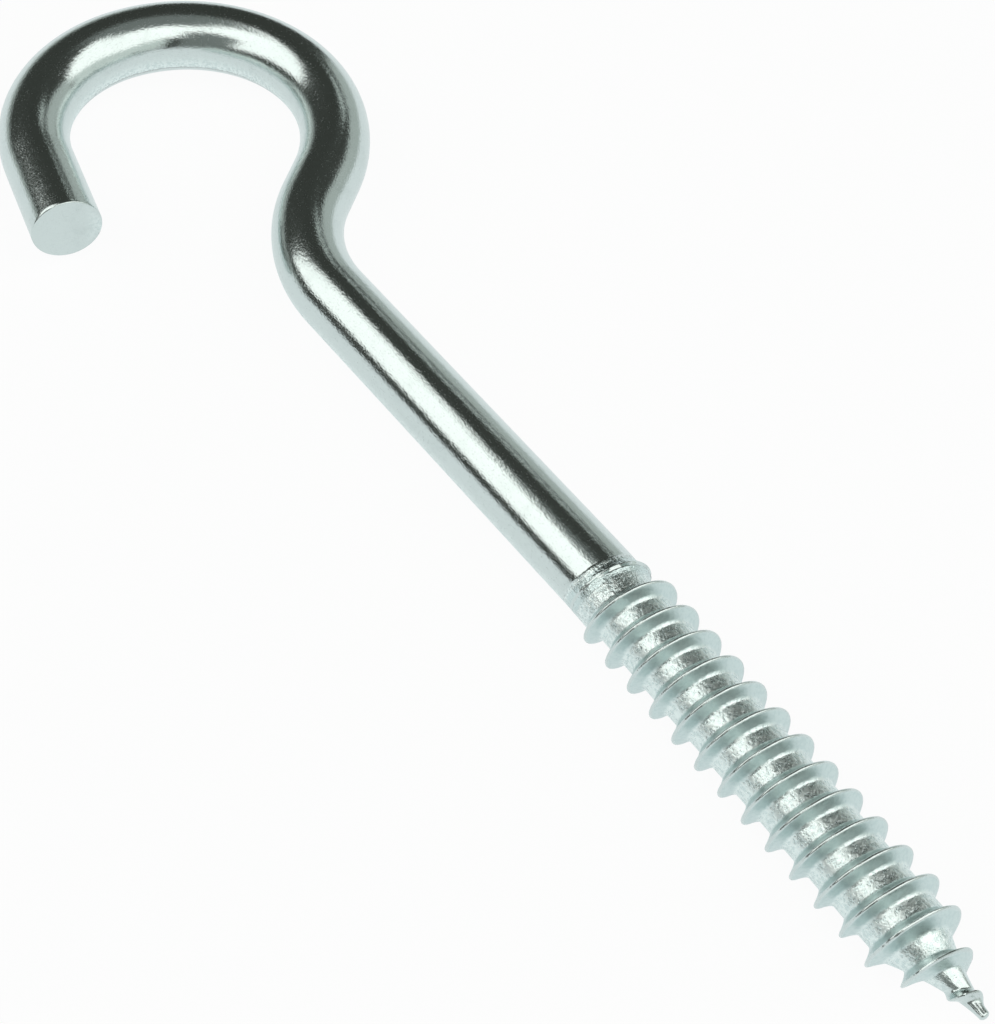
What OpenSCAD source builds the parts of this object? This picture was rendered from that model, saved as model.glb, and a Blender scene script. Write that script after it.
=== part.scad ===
// Open screw hook, bent and rolled from one length of round rod.
// The hook lies in the XY plane. The origin is on the axis of the plain shank, at the end that the
// thread starts from; +X runs along the shank to the crook and the ring, and the point is towards -X.

/* [Rod] */
// Diameter of the plain rod
rod_d = 6.3; // [5:0.1:9]

/* [Shank] */
// Straight plain length, from the thread to the crook
shank_l = 35.4; // [20:0.1:90]

/* [Crook] */
// Centreline radius of the bend that throws the ring's near side out
crook_r = 13.05; // [8:0.05:25]
// Angle that the crook turns through
crook_angle = 53.7; // [35:0.1:65]
// Straight neck between the crook and the ring
neck_l = 2.8; // [1:0.1:10]

/* [Ring] */
// Centreline radius of the wide part of the ring, next to the neck
ring_r = 14.1; // [10:0.1:30]
// Angle of the wide part
ring_angle = 131.8; // [90:0.1:150]
// Centreline radius of the tighter part that brings the ring round
closing_r = 12.15; // [8:0.05:25]
// Angle of the tighter part
closing_angle = 87.7; // [50:0.1:100]
// Straight end of the ring, up to its cut face
end_l = 8.7; // [2:0.1:15]

/* [Thread] */
// Length of the threaded part along its own axis, with its point
thread_l = 43.6; // [25:0.1:80]
// Distance from one crest to the next
pitch = 2.68; // [1.9:0.01:4]
// How far the rolled crests stand above the rod
crest_rise = 0.8; // [0.4:0.05:1.2]
// How far the rolled groove is sunk into the rod
groove_depth = 0.28; // [0.1:0.02:0.5]
// Width of the ridge at its foot
ridge_w = 1.6; // [1.2:0.05:1.8]
// Width of the rounded crest
crest_w = 0.26; // [0.15:0.01:0.5]
// Turns over which the ridge rises out of the shank
run_in_turns = 1.1; // [0.5:0.1:2]
// Turns at the point over which the ridge is only a low fin
fin_turns = 1; // [0.4:0.1:1.5]
// Height of that fin, as a share of the ridge
fin_share = 0.5; // [0.2:0.05:0.8]
// Which way the thread winds
thread_hand = -1; // [-1:Left-handed, 1:Right-handed]
// Angle round the axis, from the top, at which the ridge starts
thread_start = -115.5; // [-180:0.5:180]
// Small angle in the hook's plane between the thread's axis and the shank's
thread_lean = 1.7; // [0:0.1:3]

/* [Point] */
// Length of the tapered point
point_l = 7.4; // [5:0.1:14]
// Diameter of the blunt tip
tip_d = 0.78; // [0.3:0.02:1]
// Bare length between the end of the ridge and the tip
tip_bare_l = 0.8; // [0.8:0.1:3]

/* [Hidden] */

zinc = [0.80, 0.83, 0.84];
$fn = 48;               // sides of the round rod
bend_facets = 96;       // steps in a full circle of bend

rod_r = rod_d / 2;
core_r = rod_r - groove_depth;
crest_r = rod_r + crest_rise;
tip_r = tip_d / 2;

facets = 25;            // columns of the thread's surface in one turn
seat_depth = 0.2;       // how far one stretch of the rod reaches into the next
seat_gap = 0.02;        // how far its surface stays inside the next one there
ridge_lift = 0.05;      // plain strip between the shank's end and the foot of the ridge
groove_turns = 0.5;     // turns over which the groove sinks to its depth
fin_drop_turns = 0.35;  // turns over which the ridge comes down to the fin
run_out_turns = 0.3;    // turns over which the fin ends
crest_shoulder = 0.94;  // height of the crest's edges, as a share of the ridge
flank_hollow = 1.5;     // power that makes the flanks hollow
taper_hollow = 1.6;     // power that makes the point's core hollow
taper_belly = 1.1;      // power that keeps the crests full where the point starts
tip_rows = 5;           // rows of facets on the bare tip
tip_round = 0.12;       // length of the rounded end of the tip

// ---- the bent rod: each piece starts at its own origin and runs along +X ----

module straight(length) rotate([0, 90, 0]) cylinder(h = length, r = rod_r);

// side is 1 for a bend towards +Y and -1 for one towards -Y; each end is seated in its neighbour
module bend(radius, angle, side, slack = seat_gap) {
    seat_angle = seat_depth / radius * 180 / PI;
    translate([0, side * radius, 0])
        rotate([0, 0, (side > 0 ? -90 : 90 - angle) - seat_angle])
            rotate_extrude(angle = angle + 2 * seat_angle, $fn = bend_facets)
                translate([radius, 0]) circle(r = rod_r - slack);
}

module past_straight(length) translate([length, 0, 0]) children();

module past_bend(radius, angle, side)
    translate([0, side * radius, 0])
        rotate([0, 0, side * angle])
            translate([0, -side * radius, 0]) children();

module bent_rod() {
    straight(shank_l);
    past_straight(shank_l) {
        bend(crook_r, crook_angle, -1);
        past_bend(crook_r, crook_angle, -1) {
            straight(neck_l);
            past_straight(neck_l) ring();
        }
    }
}

module ring() {
    bend(ring_r, ring_angle, 1);
    past_bend(ring_r, ring_angle, 1) {
        bend(closing_r, closing_angle, 1, 2 * seat_gap);
        past_bend(closing_r, closing_angle, 1) straight(end_l);
    }
}

// ---- the threaded part: its axis is +Z, from the shank's end to the tip ----

function smooth(x) = let (c = min(max(x, 0), 1)) c * c * (3 - 2 * c);

// 0 up to where the point starts, 1 at the tip
function along_point(z) = min(max((z - thread_l + point_l) / point_l, 0), 1);

// radius of the groove's floor and of the crests, with the taper of the point
function floor_r(z, full_r) = tip_r + (full_r - tip_r) * pow(1 - along_point(z), taper_hollow);
function top_r(z) = max(crest_r - (crest_r - tip_r) * pow(along_point(z), taper_belly), tip_r);

// the ridge's section: distance from the middle of the crest, and height from 0 to 1
flank_steps = [0, 0.45, 1];
half_form = [for (s = flank_steps)
    [crest_w / 2 + s * (ridge_w - crest_w) / 2, crest_shoulder * pow(1 - s, flank_hollow)]];
form = concat([for (k = [len(half_form) - 1 : -1 : 0]) [-half_form[k][0], half_form[k][1]]],
              [[0, 1]], half_form);
form_n = len(form);
crest_k = len(half_form);

ridge_start = ridge_w / 2 + ridge_lift;
steps = floor((thread_l - tip_bare_l - ridge_start) / pitch * facets);
function crest_z(i) = ridge_start + pitch * i / facets;

// the ridge narrows with the point, and comes down to a low fin before it ends
function width_share(i) = (1 + top_r(crest_z(i)) / crest_r) / 2;
function fin(turns_left) = fin_share + (1 - fin_share) * smooth((turns_left - fin_turns) / fin_drop_turns);
function fade(i) = let (turns = i / facets, turns_left = (steps - i) / facets)
    smooth(turns / run_in_turns) * fin(turns_left) * smooth(turns_left / run_out_turns);

// the groove on either side of a crest: the one before it is a turn older
function groove_share(i, k) = smooth((i / facets - (k > crest_k ? 0 : 1)) / groove_turns);
function full_floor(i, k) = rod_r - seat_gap - (groove_depth - seat_gap) * groove_share(i, k);

function on_ridge(i, k) =
    let (z = crest_z(i) + form[k][0] * width_share(i),
         low = floor_r(z, full_floor(i, k)),
         high = max(top_r(z), low))
    at_column(i, low + (high - low) * form[k][1] * fade(i), z);

function at_column(i, r, z) = let (a = 360 * i / facets) [r * cos(a), r * sin(a), z];

// points: the ring inside the shank, the ridge, the rows of the bare tip, and the two end middles
tip_z = thread_l - tip_round;
function tip_row_z(i, row) = let (z = crest_z(i) + form[form_n - 1][0] * width_share(i))
    z + (tip_z - z) * row / tip_rows;
seat_points = [for (i = [0 : facets - 1]) at_column(i, rod_r - seat_gap, -seat_depth)];
ridge_points = [for (i = [0 : steps]) for (k = [0 : form_n - 1]) on_ridge(i, k)];
tip_points = [for (i = [steps - facets + 1 : steps]) for (row = [1 : tip_rows])
    at_column(i, floor_r(tip_row_z(i, row), core_r), tip_row_z(i, row))];
end_points = [[0, 0, -seat_depth], [0, 0, thread_l]];
thread_points = concat(seat_points, ridge_points, tip_points, end_points);

function seat(i) = i % facets;
function at(i, k) = k < form_n ? facets + i * form_n + k : at(i + facets, 0);
tip_base = facets + (steps + 1) * form_n;
function tip(i, row) = row == 0 ? at(i, form_n - 1)
    : tip_base + (i - steps + facets - 1) * tip_rows + row - 1;
seat_middle = tip_base + facets * tip_rows;
tip_middle = seat_middle + 1;

// two triangles for the patch between columns i and i + 1: a and d are on column i, b and c on the next
function patch(a, b, c, d) = [[a, c, b], [a, d, c]];

first_tip = steps - facets + 1;
thread_faces = concat(
    // the closed end inside the shank
    [for (i = [0 : facets - 1]) [seat_middle, seat(i), seat(i + 1)]],
    // the shank's surface up to the first turn of the ridge
    [for (i = [0 : facets - 2]) each patch(seat(i), seat(i + 1), at(i + 1, 0), at(i, 0))],
    patch(seat(facets - 1), seat(0), at(0, 0), at(facets - 1, 0)),
    [for (k = [0 : form_n - 1]) [at(facets - 1, 0), at(0, k + 1), at(0, k)]],
    // the ridge and the groove beside it
    [for (i = [0 : steps - 1]) for (k = [0 : form_n - 1])
        if (k < form_n - 1 || i + 1 + facets <= steps)
            each patch(at(i, k), at(i + 1, k), at(i + 1, k + 1), at(i, k + 1))],
    // the bare tip
    [for (i = [first_tip : steps - 1]) for (row = [0 : tip_rows - 1])
        each patch(tip(i, row), tip(i + 1, row), tip(i + 1, row + 1), tip(i, row + 1))],
    [[tip(first_tip, 0), at(steps - facets, form_n - 1), at(steps, 0)]],
    [for (k = [0 : form_n - 2]) [tip(first_tip, 0), at(steps, k), at(steps, k + 1)]],
    [for (row = [0 : tip_rows - 1])
        each patch(tip(steps, row), tip(first_tip, row), tip(first_tip, row + 1), tip(steps, row + 1))],
    [for (i = [first_tip : steps])
        [tip_middle, tip(i == steps ? first_tip : i + 1, tip_rows), tip(i, tip_rows)]]
);

module threaded_part()
    rotate([0, 0, -thread_lean])
        rotate([0, -90, 0])
            mirror([0, thread_hand < 0 ? 1 : 0, 0])
                rotate([0, 0, thread_start])
                    polyhedron(points = thread_points, faces = thread_faces, convexity = 12);

module screw_hook() color(zinc) {
    bent_rod();
    threaded_part();
}

screw_hook();
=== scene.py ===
import math

import bmesh
import bpy
from mathutils import Euler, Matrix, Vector


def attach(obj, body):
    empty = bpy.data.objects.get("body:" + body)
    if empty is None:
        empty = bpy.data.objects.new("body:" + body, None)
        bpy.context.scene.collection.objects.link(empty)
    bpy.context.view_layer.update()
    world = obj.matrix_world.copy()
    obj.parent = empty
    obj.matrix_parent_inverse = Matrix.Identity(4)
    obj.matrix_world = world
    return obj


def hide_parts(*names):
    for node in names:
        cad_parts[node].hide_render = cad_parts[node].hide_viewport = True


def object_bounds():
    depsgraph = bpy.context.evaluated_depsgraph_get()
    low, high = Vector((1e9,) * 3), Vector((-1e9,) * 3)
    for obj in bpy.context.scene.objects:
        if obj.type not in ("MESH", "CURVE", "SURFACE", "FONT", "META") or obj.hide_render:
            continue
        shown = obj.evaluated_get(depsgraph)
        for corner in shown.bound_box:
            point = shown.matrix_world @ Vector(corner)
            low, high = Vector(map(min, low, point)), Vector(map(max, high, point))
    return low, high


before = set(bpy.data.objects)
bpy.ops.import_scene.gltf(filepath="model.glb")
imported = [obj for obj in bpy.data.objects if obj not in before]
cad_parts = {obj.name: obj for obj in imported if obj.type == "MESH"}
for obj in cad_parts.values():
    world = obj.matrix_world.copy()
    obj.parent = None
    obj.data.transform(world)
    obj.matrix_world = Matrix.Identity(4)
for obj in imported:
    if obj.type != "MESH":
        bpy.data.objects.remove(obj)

cad_box = [list(corner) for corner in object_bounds()]
scene = bpy.context.scene

# ---- Rolled thread and gimlet point ----------------------------------------------------------
# A coarse wood thread, rolled cold into the rod: the dies sink a groove and squeeze the ridge up
# past the rod's own size. The ridge grows out of the shank over a turn, and dies away on the
# hollow-sided point, which ends in a short bare needle.

ROD_RADIUS = 0.00315     # metres, as every length here
PITCH = 0.00268          # from one crest to the next
THREAD_LENGTH = 0.0436   # with the point
THREAD_LEAN = 1.7        # degrees, in the hook's plane
FIRST_CREST = 0.00085    # from the end of the shank to the middle of the first crest
FIRST_ANGLE = -25.5      # degrees, where that crest starts, round the axis from +Y towards +Z
RUN_IN_TURNS = 1.1       # over which the ridge rises out of the shank
CREST_RADIUS = 0.00395
CREST_WIDTH = 0.00026
CREST_DROP = 0.06        # from the crest's middle to its edges, as a share of the ridge
RIDGE_WIDTH = 0.0016     # at its foot
FLANK_HOLLOW = 1.5       # a power, where 1 makes a straight flank
FLOOR_RADIUS = 0.00287   # of the groove
GROOVE_TURNS = 0.5       # over which the groove sinks to its depth
POINT_LENGTH = 0.0074
POINT_BELLY = 1.1        # a power, which keeps the crests full where the point starts
POINT_HOLLOW = 1.6       # a power, which hollows the core between them
NEEDLE_RADIUS = 0.00039
NEEDLE_LENGTH = 0.0008   # bare length after the last of the ridge
LAST_TURN = (THREAD_LENGTH - NEEDLE_LENGTH - FIRST_CREST) / PITCH
RUN_OUT_TURNS = 0.3      # over which the ridge ends
PINCH_TURN = 14.9        # where the dies left the ridge low, close to the point
PINCH_REACH = 0.48       # turns before and after, over which it comes down and rises again
PINCH_DEPTH = 0.69       # share of the ridge that is missing there

TURN_ROWS = 32           # rows of vertices from one crest to the next
TURN_COLUMNS = 96        # columns in one turn, which are the rod's sides too
LEAD_TURNS = 1.5         # turns of blank screwed on above the thread, then cut away


def start_editing(blank):
    """Only this object is selected, in edit mode by vertices, with nothing selected in it."""
    bpy.ops.object.select_all(action="DESELECT")
    bpy.context.view_layer.objects.active = blank
    blank.select_set(True)
    bpy.ops.object.mode_set(mode="EDIT")
    bpy.ops.mesh.select_mode(type="VERT")
    bpy.ops.mesh.select_all(action="DESELECT")


def pick(blank, wanted):
    """Of the mesh being edited, only the vertices for which wanted is true are selected."""
    bpy.ops.mesh.select_all(action="DESELECT")
    shape = bmesh.from_edit_mesh(blank.data)
    for vertex in shape.verts:
        if wanted(vertex):
            vertex.select_set(True)
    shape.select_flush_mode()
    bmesh.update_edit_mesh(blank.data)


def smooth_step(value):
    """0 up to 0, 1 from 1, with a smooth rise between."""
    value = min(max(value, 0.0), 1.0)
    return value * value * (3 - 2 * value)


def turned_at(angle):
    """Share of a turn from where the first crest starts, at an angle round the axis."""
    return ((angle - FIRST_ANGLE) % 360) / 360


def taper_at(along):
    """0 up to where the point starts, 1 at its end."""
    return min(max((along - THREAD_LENGTH + POINT_LENGTH) / POINT_LENGTH, 0), 1)


def rolled_radius(along, angle):
    """Distance from the thread's axis to its surface, at a place along and an angle round it."""
    turned = turned_at(angle)
    place = (along - FIRST_CREST) / PITCH - turned
    crest = round(place)
    off_crest = abs(place - crest) * PITCH
    turns = crest + turned
    taper = taper_at(along)
    top = CREST_RADIUS - (CREST_RADIUS - NEEDLE_RADIUS) * taper ** POINT_BELLY

    # the groove on this side of the crest: the one before the crest is a turn older
    groove = smooth_step((turns if place > crest else turns - 1) / GROOVE_TURNS)
    full_floor = ROD_RADIUS - (ROD_RADIUS - FLOOR_RADIUS) * groove
    low = NEEDLE_RADIUS + (full_floor - NEEDLE_RADIUS) * (1 - taper) ** POINT_HOLLOW

    # how much of the ridge stands at this turn, and the form of its section there
    pinch = smooth_step(1 - abs(turns - PINCH_TURN) / PINCH_REACH)
    share = (smooth_step(turns / RUN_IN_TURNS) * (1 - PINCH_DEPTH * pinch)
             * smooth_step((LAST_TURN - turns) / RUN_OUT_TURNS))
    width = (1 + top / CREST_RADIUS) / 2
    flank = (off_crest / width - CREST_WIDTH / 2) / ((RIDGE_WIDTH - CREST_WIDTH) / 2)
    rounding = min(off_crest / width / (CREST_WIDTH / 2), 1)
    form = (1 - CREST_DROP * rounding ** 2) * (1 - min(max(flank, 0), 1)) ** FLANK_HOLLOW
    return low + max(top - low, 0) * form * share


# a row of vertices one pitch long is screwed into a thin tube, turned so that the crests fall on
# its middle row, and cut square at both ends
MIDDLE_ROW = 0.5         # of a pitch
MERGE_GAP = 2e-6
CUT_SLACK = 1e-7
TIP_ROUND = 0.0002       # length of the needle's end that is rounded, past the tube
bpy.ops.object.select_all(action="DESELECT")
bpy.ops.mesh.primitive_plane_add(size=0.001, location=(LEAD_TURNS * PITCH, 0, 0))
hook = bpy.context.object
hook.name = "bright_hook"
bpy.ops.object.transform_apply(location=True, rotation=True, scale=True)
start_editing(hook)
bpy.ops.mesh.select_all(action="SELECT")
bpy.ops.mesh.merge(type="CENTER")
row_angle = math.radians(FIRST_ANGLE - 360 * (LEAD_TURNS + FIRST_CREST / PITCH - MIDDLE_ROW))
bpy.ops.transform.translate(value=(0, NEEDLE_RADIUS * math.cos(row_angle),
                                   NEEDLE_RADIUS * math.sin(row_angle)))
bpy.ops.mesh.extrude_region_move(TRANSFORM_OT_translate={"value": (-PITCH, 0, 0)})
bpy.ops.mesh.select_all(action="SELECT")
bpy.ops.mesh.subdivide(number_cuts=TURN_ROWS - 1)
bpy.ops.object.mode_set(mode="OBJECT")
helix = hook.modifiers.new("helix", "SCREW")
helix.axis, helix.angle, helix.screw_offset = "X", math.radians(360), -PITCH
helix.steps = helix.render_steps = TURN_COLUMNS
helix.iterations = math.ceil(LEAD_TURNS + THREAD_LENGTH / PITCH)
bpy.ops.object.modifier_apply(modifier="helix")
start_editing(hook)
bpy.ops.mesh.select_all(action="SELECT")
bpy.ops.mesh.remove_doubles(threshold=MERGE_GAP)
blank_end = (THREAD_LENGTH - TIP_ROUND) / PITCH * TURN_COLUMNS
blank_end = math.floor(blank_end) / TURN_COLUMNS * PITCH
for cut, cleared in ((0, "clear_outer"), (-blank_end, "clear_inner")):
    bpy.ops.mesh.select_all(action="SELECT")
    bpy.ops.mesh.bisect(plane_co=(cut, 0, 0), plane_no=(1, 0, 0), threshold=CUT_SLACK,
                        **{cleared: True})
bpy.ops.object.mode_set(mode="OBJECT")

# the rolling: each vertex is given how far the finished surface stands out there, and what the
# dies did to it (red: pressed, green: how high on the ridge, blue: how far along the point)
FULL_HEIGHT = CREST_RADIUS - NEEDLE_RADIUS
RIDGE_START = -0.5       # pitches from the first crest, before which there is no ridge
PRESSED_START = -0.42    # pitches too: where the dies' marks start
PRESSED_FADE = 0.1       # and over which they come in, as a fairly crisp line
rolled = hook.vertex_groups.new(name="rolled")
marks = []
for vertex in hook.data.vertices:
    x, y, z = vertex.co
    along, angle = -x, math.degrees(math.atan2(z, y))
    height = rolled_radius(along, angle) - NEEDLE_RADIUS
    rolled.add([vertex.index], min(height / FULL_HEIGHT, 1.0), "REPLACE")
    turns = (along - FIRST_CREST) / PITCH - turned_at(angle)
    off_crest = abs(turns - round(turns)) * PITCH
    on_ridge = max(1 - off_crest / (RIDGE_WIDTH / 2), 0) if turns > RIDGE_START else 0
    pressed = smooth_step((turns - PRESSED_START) / PRESSED_FADE)
    marks += [pressed, on_ridge, taper_at(along), 1]
hook.data.attributes.new("dies_marks", "FLOAT_COLOR", "POINT").data.foreach_set("color", marks)
start_editing(hook)
bpy.ops.mesh.select_all(action="SELECT")
bpy.ops.mesh.normals_make_consistent(inside=False)
bpy.ops.object.mode_set(mode="OBJECT")
dies = hook.modifiers.new("dies", "DISPLACE")
dies.direction, dies.mid_level, dies.vertex_group = "NORMAL", 0, "rolled"
dies.strength = FULL_HEIGHT
bpy.ops.object.modifier_apply(modifier="dies")

# the needle is rounded off in short steps, each a length and a share of the width before it, and
# the whole threaded part leans a little from the shank's line
TIP_STEPS = ((0.00008, 0.85), (0.00007, 0.72), (0.00004, 0.5))
TIP_CAP = 0.00001
start_editing(hook)
pick(hook, lambda vertex: vertex.is_boundary and vertex.co.x < -THREAD_LENGTH / 2)
tip = Vector((-blank_end, 0, 0))
for length, size in TIP_STEPS:
    bpy.ops.mesh.extrude_region_move(TRANSFORM_OT_translate={"value": (-length, 0, 0)})
    tip.x -= length
    bpy.ops.transform.resize(value=(1, size, size), center_override=tip)
bpy.ops.mesh.extrude_region_move(TRANSFORM_OT_translate={"value": (-TIP_CAP, 0, 0)})
bpy.ops.mesh.merge(type="CENTER")
bpy.ops.mesh.select_all(action="SELECT")
bpy.ops.transform.rotate(value=math.radians(THREAD_LEAN), orient_axis="Z",
                         center_override=(0, 0, 0))

# ---- Bent rod ------------------------------------------------------------------------------
# The shank, crook and ring are the rest of the same 6.3 mm low-carbon steel rod: cut to length,
# bent cold round formers, and barrel-plated with bright zinc. The cut face stays square, with
# its edge just broken by the barrel.

SHANK_LENGTH = 0.0354
LEAN_LENGTH = 0.0012     # over which the thread's lean straightens into the shank
LEAN_STEPS = 4
CROOK_RADIUS, CROOK_ANGLE = 0.01305, 53.7          # each bend's centreline radius, and degrees
NECK_LENGTH = 0.0028
RING_RADIUS, RING_ANGLE = 0.0141, 131.8
CLOSING_RADIUS, CLOSING_ANGLE = 0.01215, 87.7
END_LENGTH = 0.0087
CUT_EDGE = 0.00012       # width of the broken edge
CUT_RING = 3 * CUT_EDGE  # a ring of vertices this close to the cut keeps the leg's shine straight
BEND_STEP = 2.0          # degrees of bend between rings of vertices
SKIN_SLACK = 1.01        # rod radii from its centre out to which a place is on the rod
SHARP_ANGLE = 38         # degrees between faces, past which an edge stays sharp


class RodEnd:
    """The growing end of the rod: where its centre is, and which way it heads."""

    def __init__(self, x, y):
        self.x, self.y, self.heading = x, y, 0.0
        self.length = x
        self.legs = []

    def log_leg(self, radius, side, length):
        """Keeps a leg's start, heading, radius (none if straight), side and lengths."""
        self.legs.append((self.x, self.y, math.radians(self.heading), radius, side, self.length,
                          length))
        self.length += length

    def straightened(self, place):
        """Where a place on the bent rod was while the rod was straight."""
        x, y, z = place
        best = None
        for start_x, start_y, heading, radius, side, start, length in self.legs:
            along = (x - start_x) * math.cos(heading) + (y - start_y) * math.sin(heading)
            across = (y - start_y) * math.cos(heading) - (x - start_x) * math.sin(heading)
            if radius:
                along, across = (radius * math.atan2(along, radius - side * across),
                                 side * (radius - math.hypot(along, radius - side * across)))
            miss = (max(-along, along - length, 0)
                    + max(abs(across) - ROD_RADIUS * SKIN_SLACK, 0))
            if best is None or miss < best[0]:
                best = (miss, (start + along, across, z))
        return best[1]

    def run_straight(self, length):
        self.log_leg(None, 1, length)
        turn = math.radians(self.heading)
        step = Vector((length * math.cos(turn), length * math.sin(turn), 0))
        bpy.ops.mesh.extrude_region_move(TRANSFORM_OT_translate={"value": step})
        self.x, self.y = self.x + step.x, self.y + step.y

    def bend(self, radius, degrees):
        """Bends to the left by a number of degrees, or to the right if it is below 0."""
        side = math.copysign(1, degrees)
        self.log_leg(radius, side, radius * math.radians(abs(degrees)))
        turn = math.radians(self.heading)
        middle = Vector((self.x - side * radius * math.sin(turn),
                         self.y + side * radius * math.cos(turn), 0))
        bpy.ops.mesh.spin(steps=math.ceil(abs(degrees) / BEND_STEP), angle=-math.radians(degrees),
                          center=middle, axis=(0, 0, 1))
        self.heading += degrees
        turn = math.radians(self.heading)
        self.x = middle.x + side * radius * math.sin(turn)
        self.y = middle.y - side * radius * math.cos(turn)


# the open end of the thread grows into the shank and the bends, and is closed by the cut face
pick(hook, lambda vertex: vertex.is_boundary)
for step in range(LEAN_STEPS):
    bpy.ops.mesh.extrude_region_move(
        TRANSFORM_OT_translate={"value": (LEAN_LENGTH / LEAN_STEPS, 0, 0)})
    bpy.ops.transform.rotate(value=-math.radians(THREAD_LEAN / LEAN_STEPS), orient_axis="Z",
                             center_override=((step + 1) * LEAN_LENGTH / LEAN_STEPS, 0, 0))
rod_end = RodEnd(LEAN_LENGTH, 0.0)
rod_end.run_straight(SHANK_LENGTH - LEAN_LENGTH)
rod_end.bend(CROOK_RADIUS, -CROOK_ANGLE)
rod_end.run_straight(NECK_LENGTH)
rod_end.bend(RING_RADIUS, RING_ANGLE)
rod_end.bend(CLOSING_RADIUS, CLOSING_ANGLE)
rod_end.run_straight(END_LENGTH - CUT_RING)
rod_end.run_straight(CUT_RING)
bpy.ops.mesh.edge_face_add()
bpy.ops.mesh.bevel(offset=CUT_EDGE, segments=3, affect="EDGES")
bpy.ops.mesh.select_all(action="SELECT")
bpy.ops.mesh.normals_make_consistent(inside=False)
bpy.ops.object.mode_set(mode="OBJECT")
bpy.ops.object.shade_smooth_by_angle(angle=math.radians(SHARP_ANGLE))

# each vertex keeps its place on the straight rod, so the drawn grain follows the bends
places = []
for vertex in hook.data.vertices:
    bent = vertex.co.x > LEAN_LENGTH
    places += tuple(rod_end.straightened(vertex.co) if bent else vertex.co)
hook.data.attributes.new("drawn_rod", "FLOAT_VECTOR", "POINT").data.foreach_set("vector", places)


class Socket:
    """A value in a material's nodes. Arithmetic on it adds the Math nodes."""

    def __init__(self, tree, link):
        self.tree, self.link = tree, link

    def maths(self, operation, *values):
        return add_node(self.tree, "ShaderNodeMath", {"operation": operation},
                        dict(enumerate(values)))

    def __add__(self, other):
        return self.maths("ADD", self, other)

    def __sub__(self, other):
        return self.maths("SUBTRACT", self, other)

    def __rsub__(self, other):
        return self.maths("SUBTRACT", other, self)

    def __mul__(self, other):
        return self.maths("MULTIPLY", self, other)

    __radd__, __rmul__ = __add__, __mul__

    def rise(self, start, end):
        """0 below start, 1 above end, with a smooth rise between."""
        return add_node(self.tree, "ShaderNodeMapRange", {"interpolation_type": "SMOOTHSTEP"},
                        {"Value": self, "From Min": start, "From Max": end})


def add_node(tree, kind, settings, values, output=0):
    """One node of a material: its settings first, then the values or links of its sockets."""
    node = tree.nodes.new(kind)
    for name, setting in settings.items():
        setattr(node, name, setting)
    for name, value in values.items():
        if isinstance(value, Socket):
            tree.links.new(value.link, node.inputs[name])
        else:
            node.inputs[name].default_value = value
    return Socket(tree, node.outputs[output])


def mix_colour(tree, share, first, second):
    """The first colour where share is 0, and the second where it is 1."""
    return add_node(tree, "ShaderNodeMix", {"data_type": "RGBA"},
                    {"Factor": share, 6: first, 7: second}, 2)


ZINC = (0.675, 0.735, 0.722, 1)          # on the plain rod
ZINC_DULL = (0.50, 0.56, 0.55, 1)        # in its pits and where it was handled
ZINC_PRESSED = (0.59, 0.695, 0.69, 1)    # on the thread's flanks
ZINC_BRIGHT = (0.88, 0.95, 0.93, 1)      # flecks in the thread's roots
PULLED = (0.5, 1, 1)     # the wire's grain is twice as long along the rod
PITTED = 0.58, 0.72      # each of these is where a share rises from 0, and where it is whole
HANDLED = 0.5, 0.75
FLECKED = 0.4, 0.55
NEEDLE_SHINE = 0.35, 0.8 # along the point, from satin to bright
CREST_SHINE = 0.78, 0.9  # up the ridge, from satin to bright
FLANK_FOOT = 0.05, 0.35  # up the ridge, from root to flank
RUN_IN = -0.0042, -0.0022            # along the rod, to where the ridge starts
GRAIN_HEIGHT = 14e-6
HANDLING_HEIGHT = 13e-6
GRIT_HEIGHT = 24e-6      # left by the dies wherever they pressed
ROOT_HEIGHT = 66e-6      # and this much more in the thread's roots
RUN_IN_HEIGHT = 70e-6    # and this much more where the ridge starts
ROD_ROUGHNESS = 0.10     # of the plain rod's shine
SATIN_ROUGHNESS = 0.18   # more than that, on the thread's flanks
ROOT_SMOOTHING = 0.14    # less than that, in its roots
GRIT_ROUGHNESS = 0.17    # and where those are gritty, more again

zinc = bpy.data.materials.new("bright_zinc")
zinc.use_nodes = True
tree = zinc.node_tree
on_rod = add_node(tree, "ShaderNodeAttribute", {"attribute_name": "drawn_rod"}, {}, "Vector")
marks = add_node(tree, "ShaderNodeAttribute", {"attribute_name": "dies_marks"}, {}, "Color")
pressed = add_node(tree, "ShaderNodeSeparateColor", {}, {"Color": marks}, "Red")
ridge = add_node(tree, "ShaderNodeSeparateColor", {}, {"Color": marks}, "Green")
taper = add_node(tree, "ShaderNodeSeparateColor", {}, {"Color": marks}, "Blue")
pulled = add_node(tree, "ShaderNodeMapping", {}, {"Vector": on_rod, "Scale": PULLED}, "Vector")
grain = add_node(tree, "ShaderNodeTexNoise", {},
                 {"Vector": pulled, "Scale": 6300, "Detail": 2, "Roughness": 0.6})
handling = add_node(tree, "ShaderNodeTexNoise", {},
                    {"Vector": on_rod, "Scale": 520, "Detail": 3, "Roughness": 0.55})
grit = add_node(tree, "ShaderNodeTexNoise", {},
                {"Vector": on_rod, "Scale": 3000, "Detail": 3, "Roughness": 0.6})
pits = add_node(tree, "ShaderNodeTexNoise", {},
                {"Vector": pulled, "Scale": 9500, "Detail": 1, "Roughness": 0.5})
along = add_node(tree, "ShaderNodeSeparateXYZ", {}, {"Vector": on_rod}, "X")

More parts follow.
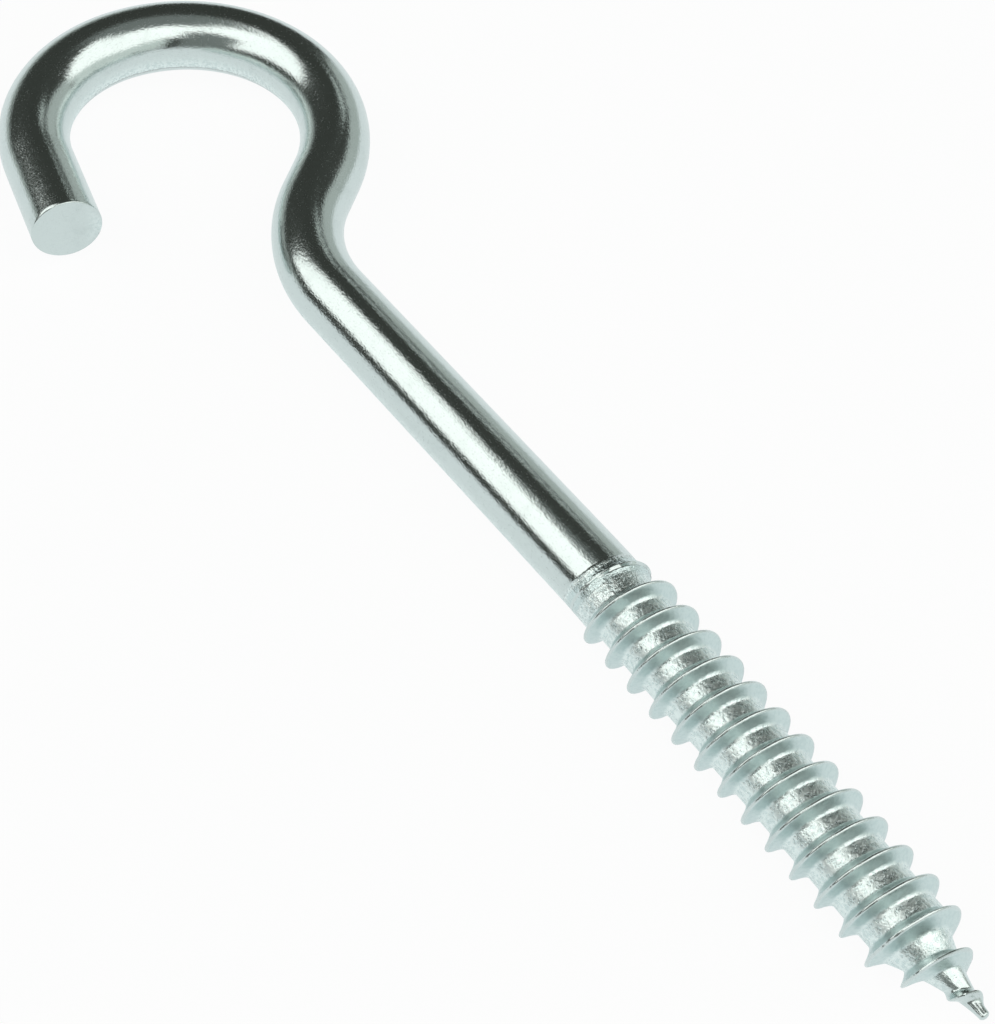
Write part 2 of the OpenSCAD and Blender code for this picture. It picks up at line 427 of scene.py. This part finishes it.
# the dies leave satin flanks, while the crests and the needle stay bright
before_needle = 1 - taper.rise(*NEEDLE_SHINE)
satin = pressed * before_needle * (1 - ridge.rise(*CREST_SHINE))
root = 1 - ridge.rise(*FLANK_FOOT)
run_in = pressed * along.rise(*RUN_IN)
height = (grain * (1 - 0.5 * satin) * GRAIN_HEIGHT + handling * HANDLING_HEIGHT
          + grit * (pressed * before_needle * GRIT_HEIGHT
                    + satin * (root * ROOT_HEIGHT + run_in * RUN_IN_HEIGHT)))
normal = add_node(tree, "ShaderNodeBump", {}, {"Height": height, "Strength": 1.0, "Distance": 1.0},
                  "Normal")
pitted = pits.rise(*PITTED)
dulled = pitted * 0.35 + handling.rise(*HANDLED) * 0.2
flecks = (0.3 + 0.6 * grit.rise(*FLECKED)) * (0.3 + 0.7 * root)
colour = mix_colour(tree, dulled, ZINC, ZINC_DULL)
mottle = mix_colour(tree, flecks, ZINC_PRESSED, ZINC_BRIGHT)
colour = mix_colour(tree, satin, colour, mottle)
rougher = SATIN_ROUGHNESS - ROOT_SMOOTHING * root + GRIT_ROUGHNESS * root * grit
roughness = (ROD_ROUGHNESS + 0.06 * grain + 0.05 * handling + 0.12 * pitted
             + satin * rougher * (1 - 0.8 * run_in))
shader = tree.nodes["Principled BSDF"]
shader.inputs["Metallic"].default_value = 1.0
for name, value in (("Base Color", colour), ("Roughness", roughness), ("Normal", normal)):
    tree.links.new(value.link, shader.inputs[name])
hook.data.materials.append(zinc)
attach(hook, "root")
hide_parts("screw_hook")

# ---- Floor ----------------------------------------------------------------------------------
# A plain white paper sweep that the hook lies on. It shows white, and keeps a faint shadow.

FLOOR_SIZE = 8
PAPER = (0.92, 0.94, 0.94, 1)
PAPER_ROUGHNESS = 0.9
MIRRORED = (0.90, 0.96, 0.97, 1)         # the paper as the plating shows it
SEEN_WHITE = 0.94        # share of plain white that the camera sees; the rest holds the shadow
MIRRORED_SHARE = 0.8

bpy.ops.object.select_all(action="DESELECT")
bpy.ops.mesh.primitive_plane_add(size=FLOOR_SIZE, location=(0, 0, cad_box[0][2]))
floor = bpy.context.object
floor.name = "floor"
paper = bpy.data.materials.new("white_paper")
paper.use_nodes = True
tree = paper.node_tree
shader = tree.nodes["Principled BSDF"]
shader.inputs["Base Color"].default_value = PAPER
shader.inputs["Roughness"].default_value = PAPER_ROUGHNESS
to_camera = add_node(tree, "ShaderNodeLightPath", {}, {}, "Is Camera Ray")
to_gloss = add_node(tree, "ShaderNodeLightPath", {}, {}, "Is Glossy Ray")
to_glass = add_node(tree, "ShaderNodeLightPath", {}, {}, "Is Transmission Ray")
lit = Socket(tree, shader.outputs["BSDF"])
white = add_node(tree, "ShaderNodeEmission", {}, {"Color": (1, 1, 1, 1), "Strength": 1.0})
cool = add_node(tree, "ShaderNodeEmission", {}, {"Color": MIRRORED, "Strength": 1.0})
seen = add_node(tree, "ShaderNodeMixShader", {}, {0: to_camera * SEEN_WHITE, 1: lit, 2: white})
seen = add_node(tree, "ShaderNodeMixShader", {},
                {0: (to_gloss + to_glass) * MIRRORED_SHARE, 1: seen, 2: cool})
tree.links.new(seen.link, tree.nodes["Material Output"].inputs["Surface"])
floor.data.materials.append(paper)

# ---- Studio boards ------------------------------------------------------------------------------
# Soft boxes and grey boards stand round the hook in a dark studio. The plating mirrors them, so
# their places make its bright and dark bands. The camera doesn't see them.

GREY_TINT = (0.91, 1.0, 0.95, 1)
BOX_TINT = (0.98, 1.0, 0.97, 1)


def stand_board(name, round_by, up_by, rolled_by, width, tall, distance, level,
                tint=GREY_TINT):
    """A board that faces the hook from a direction: degrees round from +X, up from the floor, and
    rolled about its own middle. Width and tall are from its middle to its edges, as shares of
    its distance in metres, and a level of 1 glows white."""
    azimuth, elevation, roll = (math.radians(turn) for turn in (round_by, up_by, rolled_by))
    towards = Vector((math.cos(elevation) * math.cos(azimuth),
                      math.cos(elevation) * math.sin(azimuth),
                      math.sin(elevation)))
    across = Vector((0, 0, 1)).cross(towards).normalized()
    rising = towards.cross(across)
    side = across * math.cos(roll) + rising * math.sin(roll)
    upright = rising * math.cos(roll) - across * math.sin(roll)
    bpy.ops.object.select_all(action="DESELECT")
    bpy.ops.mesh.primitive_plane_add(size=2)
    board = bpy.context.object
    board.name = name
    for vertex in board.data.vertices:
        x, y, _ = vertex.co
        vertex.co = (towards + side * x * width + upright * y * tall) * distance
    board.visible_camera = False
    glow = bpy.data.materials.new(name)
    glow.use_nodes = True
    tree = glow.node_tree
    light = add_node(tree, "ShaderNodeEmission", {}, {"Color": tint, "Strength": level})
    tree.links.new(light.link, tree.nodes["Material Output"].inputs["Surface"])
    board.data.materials.append(glow)


stand_board("low_right_board", 12, 3, -3, 0.75, 0.12, 3.6, 0.45)
stand_board("low_left_board", -158, 22, -2, 1.06, 0.36, 3.6, 0.76)
stand_board("back_board", -80, 8, -6, 0.50, 0.38, 3.4, 0.52)
stand_board("right_soft_box", 73, 49.5, -7, 0.80, 0.56, 3.2, 1.4, BOX_TINT)
stand_board("left_soft_box", 196, 57, -40, 1.19, 0.65, 3.0, 1.4, BOX_TINT)
stand_board("top_soft_box", 101, 68.5, 0, 0.85, 0.27, 2.8, 1.45, BOX_TINT)
stand_board("near_board", 118, 23, 19, 0.34, 0.61, 2.6, 0.22)
stand_board("ceiling_board", -20, 84, 0, 0.35, 0.35, 2.4, 0.20)
stand_board("back_strip", -54, 34, 0, 0.12, 0.04, 2.2, 0.85)

# ---- Light and camera -------------------------------------------------------------------------
# The studio itself is dark to the plating and white to the camera, and the camera looks down on
# the hook from the side of its mouth.

DARK_LEVEL = 0.05        # of the studio, to the plating
DARK_TINT = (0.92, 1.0, 0.88, 1)

world = bpy.data.worlds.new("studio")
world.use_nodes = True
tree = world.node_tree
to_camera = add_node(tree, "ShaderNodeLightPath", {}, {}, "Is Camera Ray")
level = to_camera * (1 - DARK_LEVEL) + DARK_LEVEL
tree.links.new(level.link, tree.nodes["Background"].inputs["Strength"])
colour = mix_colour(tree, to_camera, DARK_TINT, (1, 1, 1, 1))
tree.links.new(colour.link, tree.nodes["Background"].inputs["Color"])
scene.world = world
scene.view_settings.view_transform = "Standard"

lens = bpy.data.cameras.new("viewpoint")
lens.sensor_width, lens.lens = 36.0, 72.345         # millimetres
lens.clip_start = 0.005
camera = bpy.data.objects.new("viewpoint", lens)
camera.location = (-0.063376, 0.063059, 0.131827)
camera.rotation_euler = Euler([math.radians(turn) for turn in (35.656, -1.736, -127.383)])
scene.collection.objects.link(camera)
scene.camera = camera
